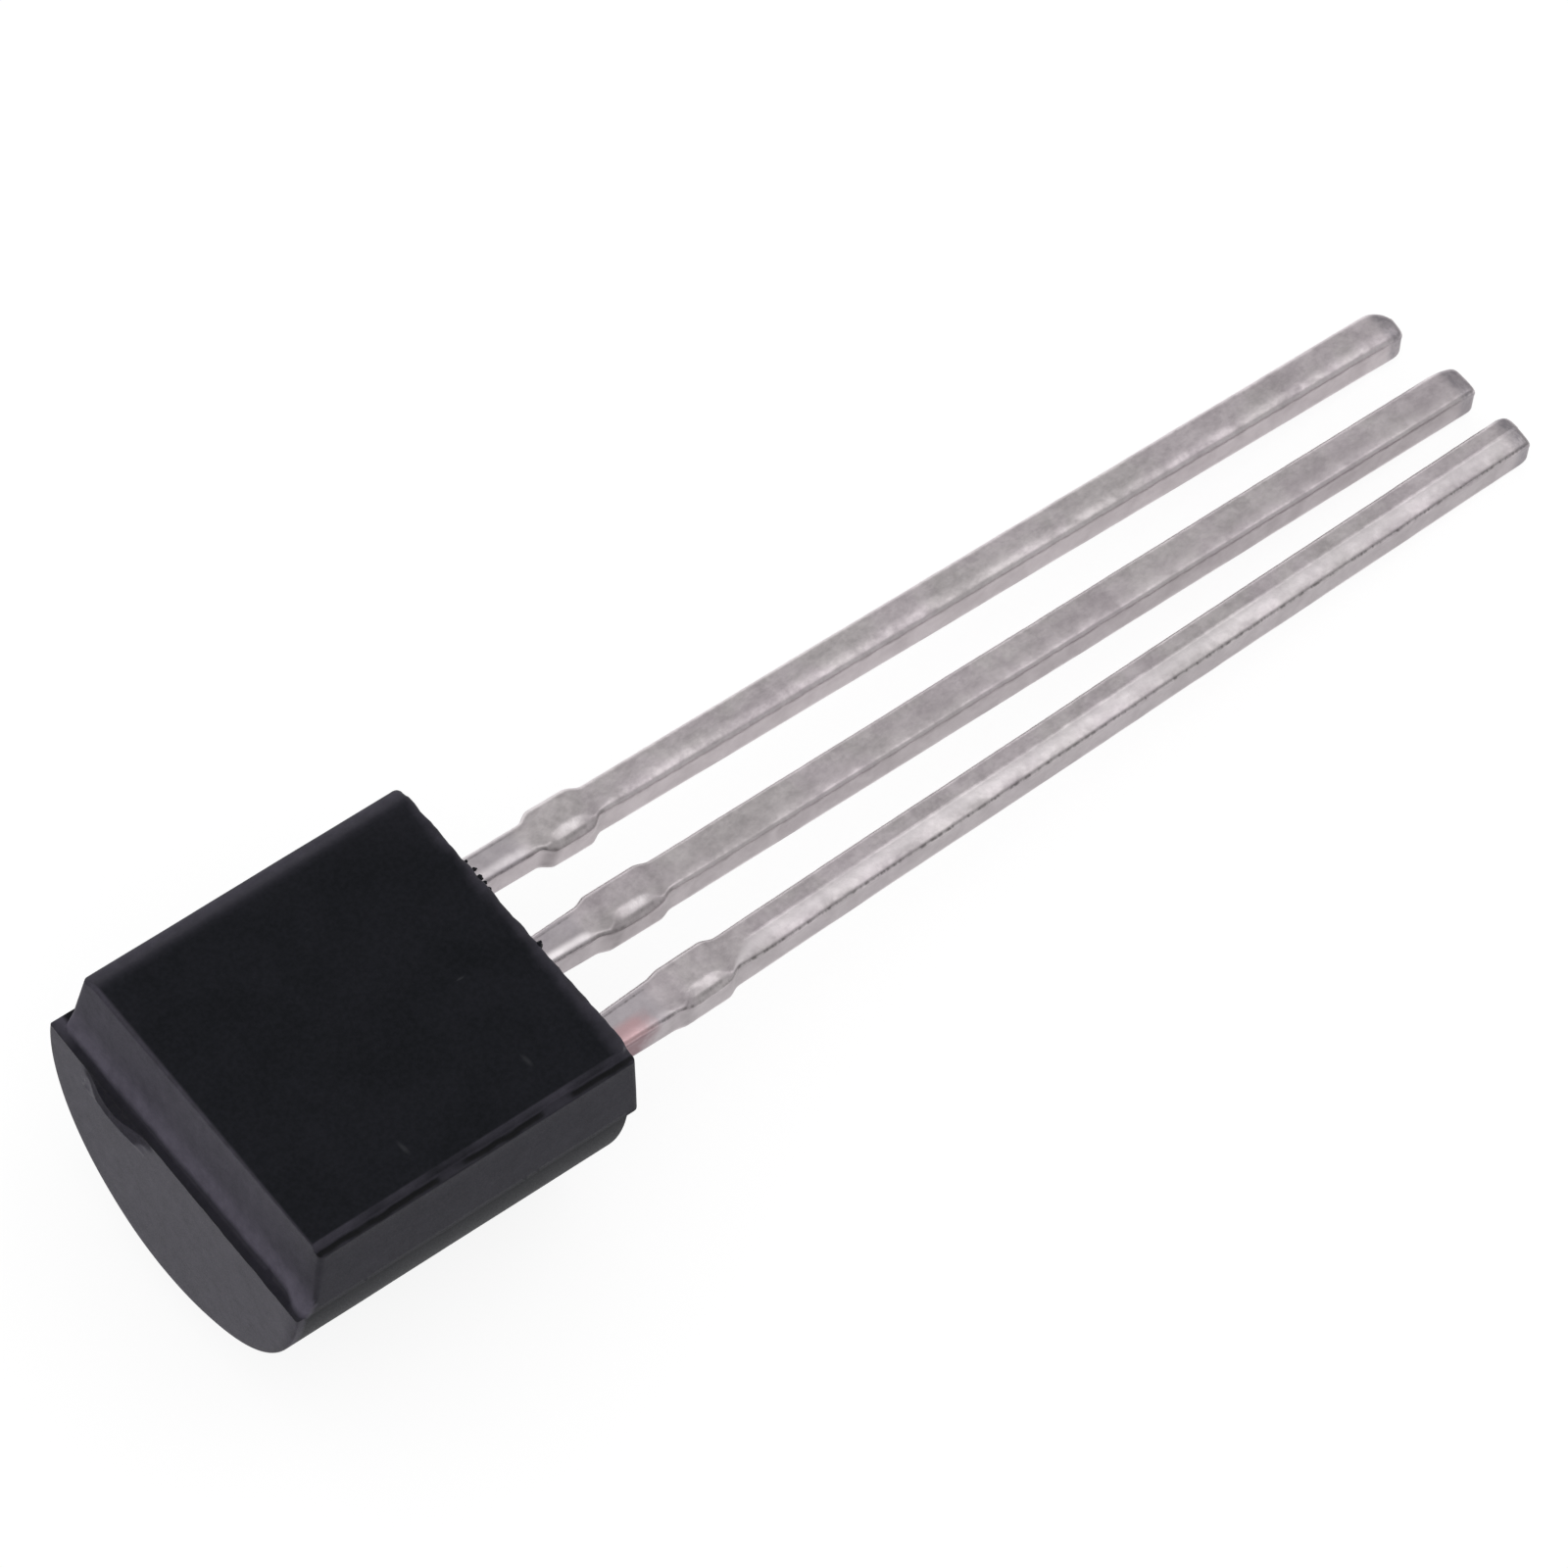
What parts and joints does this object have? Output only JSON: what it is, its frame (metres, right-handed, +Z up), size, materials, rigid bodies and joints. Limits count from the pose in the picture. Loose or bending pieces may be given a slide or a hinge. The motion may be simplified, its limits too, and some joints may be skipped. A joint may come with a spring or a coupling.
{
  "type": "to-92 transistor",
  "caption": "Small through-hole transistor: black moulded body with a flat front, a rounded back and three straight tinned leads in a row.",
  "frame": {"origin": "on the surface it lies on, under the middle of its bounding box", "axes": "+X along the part from the body towards the lead tips, +Y towards the base lead's side, +Z up; it lies on its rounded back and the tip of its longest lead, so the leads slope down towards +X by 8.3 degrees and the flat front faces up"},
  "size_m": [0.019, 0.0046, 0.004],
  "materials": {
    "epoxy": "matte",
    "tinned_lead": "satin",
    "attach": "satin",
    "silicon": "polished",
    "gold_wire": "polished"
  },
  "bodies": {
    "root": {"moulded_body": "epoxy", "emitter_lead": "tinned_lead", "collector_lead": "tinned_lead", "base_lead": "tinned_lead", "die_attach": "attach", "silicon_die": "silicon", "emitter_bond_wire": "gold_wire", "base_bond_wire": "gold_wire"}
  },
  "joints": []
}
